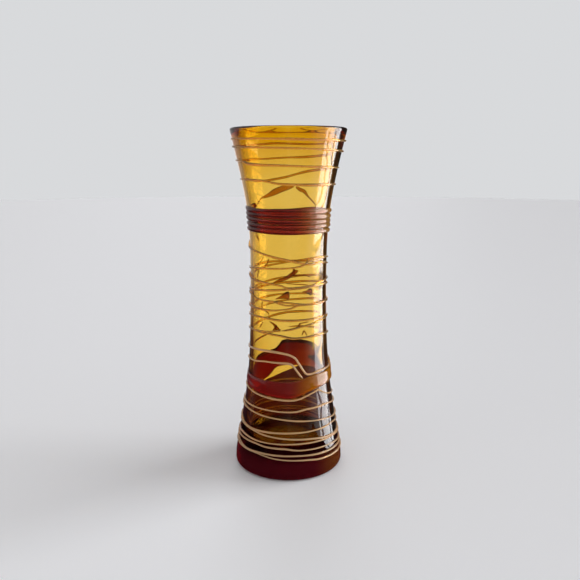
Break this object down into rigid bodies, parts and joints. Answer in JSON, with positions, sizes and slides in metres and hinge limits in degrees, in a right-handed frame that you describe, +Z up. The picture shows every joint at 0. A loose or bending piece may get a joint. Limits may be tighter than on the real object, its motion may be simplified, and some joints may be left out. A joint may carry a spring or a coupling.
{
  "type": "vase",
  "caption": "Tall waisted vase of blown amber glass with a flared mouth and foot, wound with applied threads, a ribbed collar and a wide ribbon of darker glass.",
  "frame": {"origin": "centre of the foot, on the surface that the vase stands on", "axes": "+Z up along the vase's axis, -Y towards the front, +X to the right seen from the front"},
  "size_m": [0.1004, 0.1004, 0.3],
  "materials": {
    "vessel_glass": "clear amber blown glass, fire polished",
    "wrap_glass": "dark red-amber glass, fire polished",
    "thread_glass": "amber thread of glass, fire polished"
  },
  "bodies": {
    "root": {"vessel_body": "vessel_glass", "rim_trail": "thread_glass", "collar_tail": "wrap_glass", "collar_wrap": "wrap_glass", "neck_trail": "thread_glass", "hook_trail": "thread_glass", "hook_return": "thread_glass", "ribbon_wrap": "wrap_glass", "skirt_trail": "thread_glass"}
  },
  "joints": []
}
